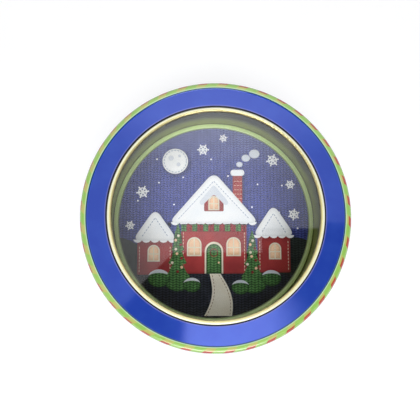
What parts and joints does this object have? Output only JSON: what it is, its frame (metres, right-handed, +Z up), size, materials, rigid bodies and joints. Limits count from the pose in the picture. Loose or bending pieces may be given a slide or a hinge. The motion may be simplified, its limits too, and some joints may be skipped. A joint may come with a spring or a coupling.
{
  "type": "window lid tin",
  "caption": "Round tinplate keepsake tin with a slip lid: blue lid ring, gold bead round a clear window, striped shoulder, seamed base with a printed floor.",
  "frame": {"origin": "centre of the tin on the table, under the base seam", "axes": "+Z up along the tin's axis, through the lid; -Y towards the viewer"},
  "size_m": [0.19, 0.19, 0.0904],
  "materials": {
    "body_enamel": "glossy blue print on tinplate, gold lacquer inside",
    "base_print": "printed floor, bare tinplate underneath",
    "lid_enamel": "glossy blue print, striped shoulder, gold bead",
    "gold_lacquer": "gold-lacquered tinplate",
    "clear_pane": "clear polished sheet"
  },
  "bodies": {
    "tin": {"body_wall": "body_enamel", "base_disc": "base_print"},
    "lid": {"lid_shell": "lid_enamel", "window_retainer": "gold_lacquer", "window_sheet": "clear_pane"}
  },
  "joints": [
    {"name": "lid_lift", "type": "slide", "parent": "tin", "child": "lid", "axis": [0, 0, 1], "range_m": [0, 0.06]}
  ]
}
